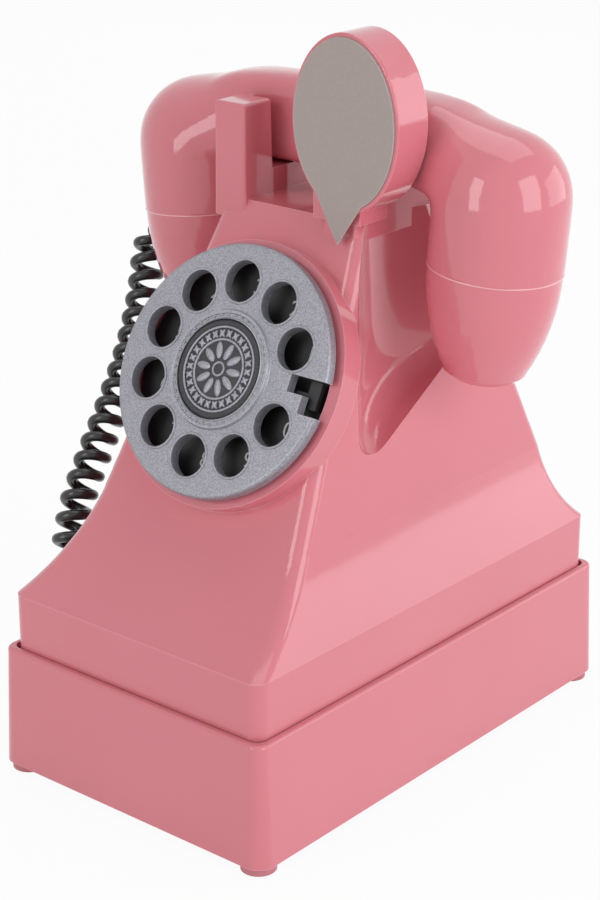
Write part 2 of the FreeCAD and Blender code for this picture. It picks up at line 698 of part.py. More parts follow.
def gear(label, teeth, pitch, bore, extras):
    """Make a spur gear on the dial's axes with straight-flanked teeth and generous backlash."""
    body = new_body(label)
    level = "-gear_level"
    blank = sketch_on(body, "XY_Plane", ("0", "0", level))
    circle(blank, pitch + " - 1.1")
    feature(body, "Pad", blank, Length="gear_width")
    tooth = sketch_on(body, "XY_Plane", ("0", "0", level))
    outline(tooth, [(pitch + " - 1.6", "-0.62"), (pitch + " + 0.7", "-0.3"), (pitch + " + 0.7", "0.3"),
                    (pitch + " - 1.6", "0.62")])
    first = feature(body, "Pad", tooth, Length="gear_width")
    ring = body.newObject("PartDesign::PolarPattern", label + "_teeth")
    ring.Originals = [first]
    ring.Axis = ([item for item in body.Origin.OriginFeatures if item.Role == "Z_Axis"][0], [""])
    ring.Angle = 360.0
    ring.setExpression("Occurrences", bound(teeth))
    body.Tip = ring
    for kind, radius, low, length in extras:
        sketch = sketch_on(body, "XY_Plane", ("0", "0", low))
        circle(sketch, radius)
        feature(body, kind, sketch, kind == "Pocket", Length=length)
    if bore:
        hole = sketch_on(body, "XY_Plane", ("0", "0", level))
        circle(hole, bore)
        feature(body, "Pocket", hole, True, Length="gear_width + 2")
    return body


def make_movement():
    """Frame behind the face with the main gear, the governor and the spring barrel."""
    governor_y = "(gear_pitch_radius * (1 + pinion_teeth / gear_teeth))"
    frame = new_body("dial_frame")
    corners = ("-19", "19", "-%s - 9" % governor_y, "19")
    front = sketch_on(frame, "XY_Plane", ("0", "0", "-wall"))
    soft_rectangle(front, *corners, "2.0")
    feature(frame, "Pad", front, True, Length="frame_gauge")
    legs = sketch_on(frame, "XY_Plane", ("0", "0", "-wall - frame_gauge / 2"))
    leg_places = [(side * 10.8, y) for side in (-1, 1) for y in (15.8, -26.0)]
    for x, y in leg_places:
        circle(legs, "1.8", repr(x), repr(y))
    feature(frame, "Pad", legs, True, Length="bridge_level - wall")
    bridge = sketch_on(frame, "XY_Plane", ("0", "0", "-bridge_level"))
    soft_rectangle(bridge, *corners, "2.0")
    feature(frame, "Pad", bridge, True, Length="frame_gauge")
    bores = sketch_on(frame, "XY_Plane", ("0", "0", "-bridge_level + 1"))
    circle(bores, "shaft_radius + running_gap")
    circle(bores, "screw_radius + running_gap", "0", "-" + governor_y)
    feature(frame, "Pocket", bores, Length="frame_gauge + 2")
    front_bores = sketch_on(frame, "XY_Plane", ("0", "0", "-wall + 1"))
    circle(front_bores, "bush_radius + running_gap")
    circle(front_bores, "screw_radius + running_gap", "0", "-" + governor_y)
    for x, y in DIAL_SCREWS:
        circle(front_bores, "screw_radius - 0.2", repr(x), repr(y))
    feature(frame, "Pocket", front_bores, Length="frame_gauge + 1.5")
    place(frame, DIAL_PLACE)
    start = -value("wall + frame_gauge")
    length = "wall + frame_gauge - 0.6"
    screws = [screw("dial_screw", on_dial(x, y, start), length, "screw_radius - 0.3", "screw_head - 0.8")
              for x, y in DIAL_SCREWS]
    group("dial_screws", screws)
    place(gear("main_gear", "gear_teeth", "gear_pitch_radius", "shaft_radius + 0.02", []), DIAL_PLACE)
    pinion = "gear_pitch_radius * pinion_teeth / gear_teeth"
    spindle = ("Pad", "screw_radius", "-bridge_level - frame_gauge / 2", "bridge_level - wall")
    drum = ("Pad", "7.0", "-gear_level + gear_width + 0.5", "3.0")
    governor = gear("governor", "pinion_teeth", pinion, None, [spindle, drum])
    half_tooth = Rotation(Vector(0, 0, 1), 90.0 + 180.0 / value("pinion_teeth"))
    place(governor, DIAL_PLACE * Placement(Vector(0, -value(governor_y), 0), half_tooth))
    barrel = new_body("spring_barrel")
    half = sketch_on(barrel, "XZ_Plane")
    rectangle(half, "shaft_radius + running_gap", "12", "-bridge_level - frame_gauge - 5",
              "-bridge_level - frame_gauge")
    turned(barrel, "Revolution", half)
    place(barrel, DIAL_PLACE)


def cup_place(side):
    """Return the frame of a cup: its origin in the parting plane, its axis leaning outwards at the top."""
    lean = Rotation(Vector(0, 1, 0), side * value("cup_lean"))
    return Placement(Vector(side * value("cup_x"), value("handset_y"), value("cup_z")), lean)


def cup_sketch(body, side):
    """Attach a sketch to the upright plane through a cup's axis."""
    centre = ("%d * cup_x" % side, "cup_z", "-handset_y")
    return sketch_on(body, "XZ_Plane", centre, Rotation(Vector(0, 0, 1), -side * value("cup_lean")))


def make_handset():
    """Handle lofted along its length, a domed cup at each end, and the two caps with what they hold."""
    body = new_body("handset_shell")
    ends = [("cup_x - 4", "16.0", "17.0", "15.0", "12.0"), ("cup_x * 0.78", "5.0", "26.5", "13.5", "8.0"),
            ("cup_x * 0.56", "0.6", "29.2", "11.4", "6.0"),
            ("cup_x * 0.28", "0", "handle_height - 0.3", "handle_half_depth + 0.3", "6.0")]
    stations = [("-(%s)" % x, drop, top, half, corner) for x, drop, top, half, corner in ends]
    stations.append(("0", "0", "handle_height", "handle_half_depth", "6.0"))
    stations.extend(reversed(ends))
    sections = []
    for x, drop, top, half, corner in stations:
        sketch = sketch_on(body, "YZ_Plane", ("handset_y", "handle_bottom", x))
        soft_rectangle(sketch, "-(%s)" % half, half, "-" + drop, top, corner)
        sections.append(sketch)
    loft(body, "AdditiveLoft", sections, False)
    for side in (-1, 1):
        half = cup_sketch(body, side)
        dome(half)
        turned(body, "Revolution", half)
    for side in (-1, 1):
        hollow = cup_sketch(body, side)
        rectangle(hollow, "0", "capsule_radius + 0.5", "-1", "capsule_height + 2")
        turned(body, "Groove", hollow)
    fittings = ((1, "ear_cap", "receiver_capsule"), (-1, "mouth_cap", "microphone_capsule"))
    for side, cap_name, capsule_name in fittings:
        make_cap(cap_name, side)
        where = cup_place(side) * at(0, 0, 2)
        keep(capsule_name, cylinder(capsule_name, "capsule_radius", "capsule_height", where))


def dome(sketch):
    """Draw the half profile of a cup: a straight side under a quarter circle."""
    corners = [("0", "0"), ("cup_radius", "0"), ("cup_radius", "cup_side"), ("0", "cup_side + cup_radius")]
    spots = [Vector(value(x), value(y), 0) for x, y in corners]
    crown = Part.Circle(Vector(0, value("cup_side"), 0), Vector(0, 0, 1), value("cup_radius"))
    sides = [Part.LineSegment(spots[0], spots[1]), Part.LineSegment(spots[1], spots[2]),
             Part.ArcOfCircle(crown, 0, math.pi / 2), Part.LineSegment(spots[3], spots[0])]
    for side in sides:
        sketch.addGeometry(side, False)
    for index in range(4):
        sketch.addConstraint(Sketcher.Constraint("Coincident", index, 2, (index + 1) % 4, 1))
        pin(sketch, index, 1, *corners[index])
    sketch.addConstraint(Sketcher.Constraint("PointOnObject", 2, 3, -2))


def bow(inset, count=8):
    """Return points down the bowed side of a cap, moved in by a wall."""
    points = []
    for index in range(count + 1):
        share = index / count
        radius = "cap_foot + (cup_radius - cap_foot) * %r - %s" % (1 - share ** 2.2, inset)
        points.append((radius, "-(cap_height - 2) * %r" % share))
    return points


def make_cap(label, side):
    """Cap below the parting line: a bowed taper, hollow, with a ring of sound holes in its foot."""
    body = new_body(label)
    shell = sketch_on(body, "XZ_Plane")
    outer = bow("0")
    inner = bow("cap_wall")[::-1]
    inner[0] = (inner[0][0], "-cap_height + cap_wall")
    foot = [("cap_foot - 2.5", "-cap_height"), ("0", "-cap_height"), ("0", "-cap_height + cap_wall")]
    outline(shell, outer + foot + inner)
    turned(body, "Revolution", shell)
    holes = sketch_on(body, "XY_Plane", ("0", "0", "-cap_height"))
    circle(holes, "1.1")
    for index in range(6):
        angle = math.radians(60.0 * index)
        circle(holes, "1.1", "cap_foot * %r" % (0.45 * math.cos(angle)),
               "cap_foot * %r" % (0.45 * math.sin(angle)))
    feature(body, "Pocket", holes, True, Length="cap_wall * 2")
    if side < 0:
        entry = sketch_on(body, "YZ_Plane", ("0", "-9.0", "-cup_radius - 2"))
        circle(entry, "cord_wire / 2 + 1.3")
        feature(body, "Pocket", entry, True, Length="cap_wall + 6")
    place(body, cup_place(side))


def make_cord_ends():
    """Grommet in the mouth cap, and the plug and socket in the left wall of the step."""
    inward = Rotation(Vector(0, 1, 0), 90.0)
    mouth = cup_place(-1) * Placement(Vector(-value("cup_radius") - 2.0, 0, -9.0), inward)
    sleeve = cylinder("grommet_sleeve", "cord_wire / 2 + 1.25", "cap_wall + 4.5", mouth)
    bore = cylinder("grommet_bore", "cord_wire / 2 + 0.02", "cord_wire", mouth)
    keep("cord_grommet", cut("cord_grommet", sleeve, bore))
    wall = -value(SHELL_X)
    socket = box("socket_block", "12", "13.6", "11.6", at(wall + 6.0 + 0.3, CORD_Y, CORD_Z - 5.8))
    flange = box("socket_flange", "2", "20", "16", at(wall + value("wall") + 1.0, CORD_Y, CORD_Z - 8))
    mouth_box = box("socket_mouth", "9", "9.2", "8.2", at(wall + 4.5 + 0.2, CORD_Y, CORD_Z - 4.1))
    keep("cord_socket", cut("cord_socket", fuse("socket_body", [socket, flange]), mouth_box))
    plug = box("plug_block", "12", "8.8", "7.8", at(wall + 2.0, CORD_Y, CORD_Z - 3.9))
    throat = Placement(Vector(wall - 4.0, CORD_Y, CORD_Z), inward)
    entry = cylinder("plug_entry", "cord_wire / 2 + 0.02", "cord_wire", throat)
    keep("cord_plug", cut("cord_plug", plug, entry))
    rear = value(SHELL_Y)
    inlet = box("inlet_block", "13.6", "14", "11.6", at(0, rear - 7.0 - 0.3, CORD_Z - 5.8))
    rim = box("inlet_flange", "20", "2", "16", at(0, rear - value("wall") - 1.0, CORD_Z - 8))
    mouth_hole = box("inlet_mouth", "10", "11", "8", at(0, rear - 5.5, CORD_Z - 4))
    keep("line_inlet", cut("line_inlet", fuse("inlet_body", [inlet, rim]), mouth_hole))


def route_point(share):
    """Return a point of the smooth route of the curls and its direction; share runs from 0 to 1."""
    points = [Vector(*point) for point in CORD_ROUTE]
    curve = Part.BSplineCurve()
    curve.interpolate(points)
    first, last = curve.FirstParameter, curve.LastParameter
    spot = curve.parameterAtDistance(curve.length() * share, first) if share < 1 else last
    return curve.value(spot), curve.tangent(spot)[0]


def curl_stations():
    """Return points and directions along the wire, a quarter turn apart, from the grommet to the plug."""
    turns = int(value("cord_turns"))
    coil = value("cord_coil")
    wire = value("cord_wire")
    steps = 4 * turns
    spots = []
    for step in range(steps + 1):
        centre, along = route_point(step / steps)
        across = along.cross(Vector(0, 1, 0)).normalize()
        other = along.cross(across)
        angle = math.radians(90.0 * step + 180.0)
        radius = coil * min(1.0, 0.55 + 0.15 * min(step, steps - step))
        spots.append(centre + (across * math.cos(angle) + other * math.sin(angle)) * radius)
    ways = [(after - before).normalize() for before, after in zip(spots, spots[2:])]
    mouth = cup_place(-1) * Placement(Vector(-value("cup_radius") - 2.0 + wire / 2, 0, -9.0), Rotation())
    out = mouth.Rotation.multVec(Vector(-1, 0, 0))
    plug = Vector(-value(SHELL_X) - 4.0 + wire / 2, CORD_Y, CORD_Z)
    into = Vector(1, 0, 0)
    start = [(mouth.Base, out), (mouth.Base + out * (1.5 * wire), out)]
    finish = [(plug - into * (1.5 * wire), into), (plug, into)]
    return start + list(zip(spots[1:-1], ways)) + finish


def biarc(start, way, end, end_way):
    """Return two arcs, or a line, that leave and arrive in the given directions."""
    chord = end - start
    if way.cross(chord).Length < 1e-6 and end_way.cross(chord).Length < 1e-6:
        return [Part.LineSegment(start, end).toShape()]
    both = way + end_way
    quad = 2 * (1 - way.dot(end_way))
    mid = chord.dot(both)
    if quad > 1e-9:
        reach = (-mid + math.sqrt(mid * mid + quad * chord.dot(chord))) / quad
    else:
        reach = chord.dot(chord) / (4 * chord.dot(end_way))
    join = (start + end + (way - end_way) * reach) * 0.5
    return [tangent_arc(start, way, join), tangent_arc(end, end_way * -1, join)]


def tangent_arc(start, way, end):
    """Return the arc from a point, in a direction, to another point."""
    chord = end - start
    inward = chord - way * chord.dot(way)
    radius = chord.dot(chord) / (2 * inward.Length)
    inward.normalize()
    centre = start + inward * radius
    turn = 2 * math.atan2(chord.dot(inward), chord.dot(way))
    middle = centre - inward * (radius * math.cos(turn / 2)) + way * (radius * math.sin(turn / 2))
    return Part.Arc(start, middle, end).toShape()


def make_curly_cord():
    """Sweep the wire of the curly cord along its curls as one unbroken tube."""
    stations = curl_stations()
    edges = []
    for (start, way), (end, end_way) in zip(stations, stations[1:]):
        edges.extend(biarc(start, way, end, end_way))
    path = Part.Wire(Part.__sortEdges__(edges))
    radius = value("cord_wire") / 2
    first, way = stations[0]
    profile = Part.Wire(Part.makeCircle(radius, first, way))
    shell = Part.BRepOffsetAPI.MakePipeShell(path)
    shell.add(profile)
    shell.build()
    shell.makeSolid()
    cord = doc.addObject("Part::Feature", "curly_cord")
    cord.Shape = shell.shape()
    keep("curly_cord", cord)
    report_cord(path, cord.Shape, radius)


def report_cord(path, solid, radius):
    """Print the wire's length, its tightest bend, its volume and its least gap to itself."""
    spots = path.discretize(Number=1200)
    pace = path.Length / 1199
    skip = int(6 * radius / pace)
    least = min((spot - other).Length for index, spot in enumerate(spots)
                for other in spots[index + skip:index + 200])
    bends = [edge.Curve.Radius for edge in path.Edges if hasattr(edge.Curve, "Radius")]
    gap = least - 2 * radius
    print("cord length %.1f mm, tightest bend %.2f mm, gap to itself %.2f mm" % (path.Length, min(bends), gap))
    print("cord volume %.1f, section times length %.1f" % (solid.Volume, math.pi * radius ** 2 * path.Length))


def make_hook():
    """Yoke with two plungers, its spring, and the switch block that hangs under the deck."""
    deck = value(DECK)
    y = value("handset_y")
    bar_low = deck - 15.0
    bar_top = bar_low + 4.0
    tall = "handle_bottom - touch_gap - %r" % (bar_top - 1.0)
    pins = [cylinder("plunger", "plunger_radius", tall, at(side * value("plunger_x"), y, bar_top - 1.0))
            for side in (-1, 1)]
    bar = box("yoke_bar", "plunger_x * 2 + 8", "8", "4", at(0, y, bar_low))
    keep("hook_yoke", fuse("hook_yoke", pins + [bar]))
    switch_top = bar_low - 10.0
    outer = cylinder("spring_outer", "3.2", "10", at(0, y, switch_top))
    inner = cylinder("spring_inner", "2.2", "10", at(0, y, switch_top))
    keep("hook_spring", cut("hook_spring", outer, inner))
    block = box("switch_block", "36", "12", "9", at(0, y, switch_top - 9.0))
    leg_height = "%s - wall - %r" % (DECK, switch_top - 9.0)
    legs = [box("switch_leg", "16", "2", leg_height, at(0, y + side * 6.0, switch_top - 9.0))
            for side in (-1, 1)]
    keep("hook_switch", fuse("hook_switch", [block] + legs))


def make_ringer():
    """Two gongs on posts, a coil between them and the clapper that swings between their rims."""
    floor = value("foot_height + floor_thickness")
    for side, label in ((-1, "ringer_gong_left"), (1, "ringer_gong_right")):
        body = new_body(label)
        half = sketch_on(body, "XZ_Plane")
        outline(half, [("0", "0"), ("3", "0"), ("3", "16"), ("gong_radius * 0.6", "15.4"), ("gong_radius", "9"),
                       ("gong_radius + 1", "9.6"), ("gong_radius * 0.62", "17"), ("0", "18.2")])
        turned(body, "Revolution", half)
        place(body, at(side * value("gong_x"), RINGER_Y, floor))
    base = box("coil_base", "24", "16", "3", at(0, RINGER_Y + 28, floor))
    across = Placement(Vector(-9, RINGER_Y + 28, floor + 8), Rotation(Vector(0, 1, 0), 90))
    winding = cylinder("coil_winding", "6", "18", across)
    keep("ringer_coil", fuse("ringer_coil", [base, winding]))
    pivot = at(0, RINGER_Y + 15, floor)
    post = cylinder("clapper_post", "2", "10", pivot)
    arm = box("clapper_arm", "2", "16", "2", at(0, RINGER_Y + 8, floor + 10))
    ball = doc.addObject("Part::Sphere", "clapper_ball")
    ball.Radius = 2.6
    place(ball, at(0, RINGER_Y, floor + 11))
    collar = cylinder("clapper_collar", "3.2", "2", at(0, RINGER_Y + 15, floor + 10))
    keep("clapper_post", post)
    keep("ringer_clapper", fuse("ringer_clapper", [collar, arm, ball]))


def make_board():
    """Circuit board with its two chips on the tray's stands."""
    floor = value("foot_height + floor_thickness + 6")
    plate = box("board_plate", "board_width", "board_depth", "1.6", at(0, BOARD_Y, floor))
    chips = [box("board_chip", "14", "8", "4", at(x, BOARD_Y + y, floor + 1.5))
             for x, y in ((-16, 8), (14, -6))]
    keep("circuit_board", fuse("circuit_board", [plate] + chips))


def export():
    """Check every object, then write each sub-part to its own file."""
    doc.recompute()
    for item in doc.Objects:
        if "Invalid" in item.State or "Error" in item.State:
            raise RuntimeError("%s did not compute: %s" % (item.Label, item.State))
        removes = item.TypeId in ("PartDesign::Pocket", "PartDesign::Groove", "PartDesign::SubtractiveLoft")
        if removes and item.BaseFeature.Shape.Volume - item.Shape.Volume < 0.01:
            raise RuntimeError("%s cuts nothing" % item.Label)
    os.makedirs("parts", exist_ok=True)
    for label, item in nodes.items():
        shape = item.Shape
        if shape.isNull() or not shape.isValid() or not shape.Solids:
            raise RuntimeError("%s has no valid solid" % label)
        shape.exportStep("parts/%s.step" % label)
        print("%-20s solids %d volume %.1f" % (label, len(shape.Solids), shape.Volume))


make_tray()
make_shell()
make_sign()
make_dial()
make_movement()
make_handset()
make_cord_ends()
make_curly_cord()
make_hook()
make_ringer()
make_board()
export()
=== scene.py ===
"""Studio scene of an upright pink bedroom telephone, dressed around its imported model."""
import json
import logging
import math
from dataclasses import dataclass, field
from enum import Enum
from typing import Sequence

import bmesh
import bpy
from mathutils import Matrix, Vector


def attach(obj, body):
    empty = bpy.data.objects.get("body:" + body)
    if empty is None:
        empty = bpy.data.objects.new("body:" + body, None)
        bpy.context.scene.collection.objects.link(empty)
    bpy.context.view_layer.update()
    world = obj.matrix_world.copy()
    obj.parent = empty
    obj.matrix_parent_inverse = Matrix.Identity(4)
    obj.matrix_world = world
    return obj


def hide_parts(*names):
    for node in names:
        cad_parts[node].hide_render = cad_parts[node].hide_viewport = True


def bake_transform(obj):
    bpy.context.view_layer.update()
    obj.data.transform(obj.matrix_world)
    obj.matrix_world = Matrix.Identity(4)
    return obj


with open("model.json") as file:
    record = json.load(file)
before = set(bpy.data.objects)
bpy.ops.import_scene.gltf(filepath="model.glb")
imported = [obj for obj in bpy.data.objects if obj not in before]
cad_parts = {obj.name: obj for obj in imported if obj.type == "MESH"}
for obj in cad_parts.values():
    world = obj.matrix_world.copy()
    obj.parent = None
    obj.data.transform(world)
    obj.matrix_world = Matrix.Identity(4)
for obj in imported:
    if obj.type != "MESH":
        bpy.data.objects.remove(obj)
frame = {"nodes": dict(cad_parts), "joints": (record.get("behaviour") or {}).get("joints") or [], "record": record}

log = logging.getLogger("telephone")
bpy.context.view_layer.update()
MM = 0.001
Colour = tuple[float, float, float]
GroupParts = tuple[bpy.types.NodeTree, bpy.types.Node, bpy.types.Node]
COOL: Colour = (0.93, 0.97, 1.0)
WHITE: Colour = (1.0, 1.0, 1.0)
LEFT_AND_RIGHT = (-1, 1)

CLOUD_DETAIL = 3.0
GRAIN_DETAIL = 4.0
SPECK_DETAIL = 6.0
SPECK_ROUGHNESS = 0.75
SPECK_LOW = 0.38
SPECK_HIGH = 0.62
EDGE_SAMPLES = 6
EDGE_START = 0.985
EDGE_FULL = 0.86
EDGE_MOST = 0.75


class Pattern(Enum):
    """Which output of the grain group mixes the two colours of a finish."""

    MOULDED = "Cloud"
    CAST = "Speck"
    PAPER = "Grain"


@dataclass(frozen=True)
class Finish:
    """One surface finish, with its colours as linear red, green and blue."""

    name: str
    light: Colour
    dark: Colour
    rough_low: float
    rough_high: float
    metallic: float = 0.0
    coat: float = 0.0
    coat_rough: float = 0.06
    specular: float = 0.5
    pattern: Pattern = Pattern.MOULDED
    cloud_scale: float = 18.0
    grain_scale: float = 900.0
    bump: float = 0.03
    bump_depth: float = 0.3 * MM
    # A paler colour along the edges: a painted highlight on the housing and the panel, wear on the silver wheel.
    edge: Colour | None = None
    edge_radius: float = 0.6 * MM

    def build(self, group: bpy.types.NodeTree, edges: bpy.types.NodeTree) -> bpy.types.Material:
        """Make the material of this finish.

        Args:
            group: The shared grain group.
            edges: The shared edge group.

        Returns:
            The new material.
        """
        material = bpy.data.materials.new(self.name)
        material.use_nodes = True
        nodes = material.node_tree.nodes
        links = material.node_tree.links
        shader = nodes["Principled BSDF"]
        shader.inputs["Metallic"].default_value = self.metallic
        shader.inputs["Coat Weight"].default_value = self.coat
        shader.inputs["Coat Roughness"].default_value = self.coat_rough
        shader.inputs["Specular IOR Level"].default_value = self.specular
        grain = nodes.new("ShaderNodeGroup")
        grain.node_tree = group
        grain.inputs["Cloud Scale"].default_value = self.cloud_scale
        grain.inputs["Grain Scale"].default_value = self.grain_scale
        colour = nodes.new("ShaderNodeMix")
        colour.data_type = "RGBA"
        colour.inputs["A"].default_value = (*self.dark, 1.0)
        colour.inputs["B"].default_value = (*self.light, 1.0)
        links.new(grain.outputs[self.pattern.value], colour.inputs["Factor"])
        tone = colour.outputs["Result"]
        # Pale edges: a painted highlight on the plastic and the card, wear on the silver wheel.
        if self.edge is not None:
            tone = self.paint_edge_highlight_and_wear(material.node_tree, edges, tone)
        links.new(tone, shader.inputs["Base Color"])
        rough = nodes.new("ShaderNodeMapRange")
        rough.inputs["To Min"].default_value = self.rough_low
        rough.inputs["To Max"].default_value = self.rough_high
        patches = "Cloud" if self.pattern is Pattern.MOULDED else "Grain"
        links.new(grain.outputs[patches], rough.inputs["Value"])
        links.new(rough.outputs["Result"], shader.inputs["Roughness"])
        bump = nodes.new("ShaderNodeBump")
        bump.inputs["Strength"].default_value = self.bump
        bump.inputs["Distance"].default_value = self.bump_depth
        links.new(grain.outputs["Grain"], bump.inputs["Height"])
        links.new(bump.outputs["Normal"], shader.inputs["Normal"])
        return material

    def paint_edge_highlight_and_wear(self, tree: bpy.types.NodeTree, edges: bpy.types.NodeTree,
                tone: bpy.types.NodeSocket) -> bpy.types.NodeSocket:
        """Turn the colour paler along the edges of a piece, a painted highlight on the plastic and the card and
        wear on the silver wheel.

        Args:
            tree: The material's nodes.
            edges: The shared edge group.
            tone: The colour away from the edges.

        Returns:
            The colour with its pale edges.
        """
        mark = tree.nodes.new("ShaderNodeGroup")
        mark.node_tree = edges
        mark.inputs["Radius"].default_value = self.edge_radius
        mix = tree.nodes.new("ShaderNodeMix")
        mix.data_type = "RGBA"
        mix.inputs["B"].default_value = (*self.edge, 1.0)
        tree.links.new(mark.outputs["Edge"], mix.inputs["Factor"])
        tree.links.new(tone, mix.inputs["A"])
        return mix.outputs["Result"]


FINISHES = {
    # The housing's pale edge colour is a painted highlight along its edges.
    "housing": Finish("Pink moulded plastic", (0.72, 0.214, 0.256), (0.67, 0.184, 0.224), 0.08, 0.15,
                      coat=0.8, specular=0.15, grain_scale=1400.0, bump=0.012, edge=(0.86, 0.40, 0.45)),
    "feet": Finish("Pink soft feet", (0.60, 0.22, 0.25), (0.52, 0.18, 0.21), 0.5, 0.65,
                   grain_scale=1600.0, bump=0.1),
    # The panel's pale edge colour is a painted highlight along its edges.
    "panel": Finish("Grained card panel", (0.47, 0.40, 0.375), (0.36, 0.295, 0.275), 0.75, 0.9,
                    pattern=Pattern.PAPER, grain_scale=2300.0, bump=0.25,
                    edge=(0.62, 0.55, 0.52), edge_radius=0.4 * MM),
    "dial_black": Finish("Black dial plastic", (0.016, 0.016, 0.018), (0.007, 0.007, 0.008), 0.35, 0.55,
                         grain_scale=1800.0, bump=0.12),
    "wheel_metal": Finish("Cast silver wheel", (0.42, 0.414, 0.46), (0.2, 0.197, 0.222), 0.32, 0.55,
                          metallic=0.5, pattern=Pattern.CAST, grain_scale=2100.0, bump=0.35,
                          edge=(0.62, 0.615, 0.66), edge_radius=0.4 * MM),
    "antique_metal": Finish("Darkened silver recess", (0.075, 0.074, 0.082), (0.03, 0.03, 0.034), 0.45, 0.7,
                            metallic=0.5, pattern=Pattern.CAST, grain_scale=2100.0, bump=0.3),
    "screw_steel": Finish("Drawn steel", (0.62, 0.62, 0.63), (0.45, 0.45, 0.46), 0.25, 0.4,
                          metallic=1.0, pattern=Pattern.CAST, bump=0.1),
    "brass": Finish("Turned brass", (0.70, 0.50, 0.22), (0.52, 0.35, 0.13), 0.25, 0.42,
                    metallic=1.0, pattern=Pattern.CAST, bump=0.1),
    "cord_black": Finish("Black cord jacket", (0.017, 0.017, 0.018), (0.008, 0.008, 0.009), 0.24, 0.38,
                         coat=0.15, grain_scale=2600.0, bump=0.08),
    "board_green": Finish("Green board", (0.03, 0.12, 0.05), (0.02, 0.08, 0.035), 0.4, 0.6,
                          pattern=Pattern.PAPER, bump=0.1),
    "coil_copper": Finish("Wound copper", (0.55, 0.24, 0.10), (0.35, 0.14, 0.06), 0.3, 0.45,
                          metallic=1.0, pattern=Pattern.CAST, bump=0.2),
    "numeral": Finish("Pale grey print", (0.62, 0.62, 0.60), (0.52, 0.52, 0.50), 0.5, 0.65,
                      pattern=Pattern.PAPER),
    # The parting colour is a painted highlight along the joint of each cup and its cap.
    "parting": Finish("Painted highlight parting line", (0.88, 0.43, 0.47), (0.82, 0.38, 0.42), 0.2, 0.3, coat=0.5),
}


def new_group(name: str, inputs: Sequence[str], outputs: Sequence[str]) -> GroupParts:
    """Make an empty shader node group whose sockets are numbers.

    Args:
        name: The group's name.
        inputs: Names of the numbers that go in.
        outputs: Names of the numbers that come out.

    Returns:
        The group, its entry node and its exit node.
    """
    tree = bpy.data.node_groups.new(name, "ShaderNodeTree")
    for way, sockets in (("INPUT", inputs), ("OUTPUT", outputs)):
        for socket in sockets:
            tree.interface.new_socket(socket, in_out=way, socket_type="NodeSocketFloat")
    return tree, tree.nodes.new("NodeGroupInput"), tree.nodes.new("NodeGroupOutput")


def add_noise(tree: bpy.types.NodeTree, place: bpy.types.NodeSocket, scale: bpy.types.NodeSocket,
              detail: float) -> bpy.types.Node:
    """Add a noise texture to a group.

    Args:
        tree: The group's nodes.
        place: The coordinates at which the noise is read.
        scale: The socket that gives its scale.
        detail: How many finer layers it has.

    Returns:
        The noise node.
    """
    noise = tree.nodes.new("ShaderNodeTexNoise")
    noise.inputs["Detail"].default_value = detail
    tree.links.new(place, noise.inputs["Vector"])
    tree.links.new(scale, noise.inputs["Scale"])
    return noise


def grain_group() -> bpy.types.NodeTree:
    """Build the shared group that gives a soft cloud, a fine grain and cast specks.

    Returns:
        The node group.
    """
    tree, entry, leave = new_group("Surface grain", ("Cloud Scale", "Grain Scale"),
                                   ("Cloud", "Grain", "Speck"))
    place = tree.nodes.new("ShaderNodeTexCoord").outputs["Object"]
    cloud = add_noise(tree, place, entry.outputs["Cloud Scale"], CLOUD_DETAIL)
    grain = add_noise(tree, place, entry.outputs["Grain Scale"], GRAIN_DETAIL)
    speck = add_noise(tree, place, entry.outputs["Grain Scale"], SPECK_DETAIL)
    speck.inputs["Roughness"].default_value = SPECK_ROUGHNESS
    spread = tree.nodes.new("ShaderNodeMapRange")
    spread.inputs["From Min"].default_value = SPECK_LOW
    spread.inputs["From Max"].default_value = SPECK_HIGH
    tree.links.new(cloud.outputs["Fac"], leave.inputs["Cloud"])
    tree.links.new(grain.outputs["Fac"], leave.inputs["Grain"])
    tree.links.new(speck.outputs["Fac"], spread.inputs["Value"])
    tree.links.new(spread.outputs["Result"], leave.inputs["Speck"])
    return tree


def edge_group() -> bpy.types.NodeTree:
    """Build the shared group that marks where a surface turns sharply.

    Returns:
        The node group.
    """
    tree, entry, leave = new_group("Edge mark", ("Radius",), ("Edge",))
    eased = tree.nodes.new("ShaderNodeBevel")
    eased.samples = EDGE_SAMPLES
    surface = tree.nodes.new("ShaderNodeNewGeometry")
    likeness = tree.nodes.new("ShaderNodeVectorMath")
    likeness.operation = "DOT_PRODUCT"
    spread = tree.nodes.new("ShaderNodeMapRange")
    spread.inputs["From Min"].default_value = EDGE_START
    spread.inputs["From Max"].default_value = EDGE_FULL
    spread.inputs["To Max"].default_value = EDGE_MOST
    tree.links.new(entry.outputs["Radius"], eased.inputs["Radius"])
    tree.links.new(eased.outputs["Normal"], likeness.inputs[0])
    tree.links.new(surface.outputs["Normal"], likeness.inputs[1])
    tree.links.new(likeness.outputs["Value"], spread.inputs["Value"])
    tree.links.new(spread.outputs["Result"], leave.inputs["Edge"])
    return tree


def new_piece(name: str, form: bmesh.types.BMesh, material: bpy.types.Material,
              smooth: bool = True) -> bpy.types.Object:
    """Turn a finished bmesh into an object of the scene.

    Args:
        name: The piece's name.
        form: The bmesh, which is freed.
        material: Its finish.
        smooth: Whether its faces are shaded smooth.

    Returns:
        The new object.
    """
    mesh = bpy.data.meshes.new(name)
    form.to_mesh(mesh)
    form.free()
    for face in mesh.polygons:
        face.use_smooth = smooth
    mesh.materials.append(material)
    item = bpy.data.objects.new(name, mesh)
    bpy.context.collection.objects.link(item)
    return item


def on_circle(angle: float) -> Vector:
    """Return the point at an angle in radians on a circle of radius 1 round Z."""
    return Vector((math.cos(angle), math.sin(angle), 0))


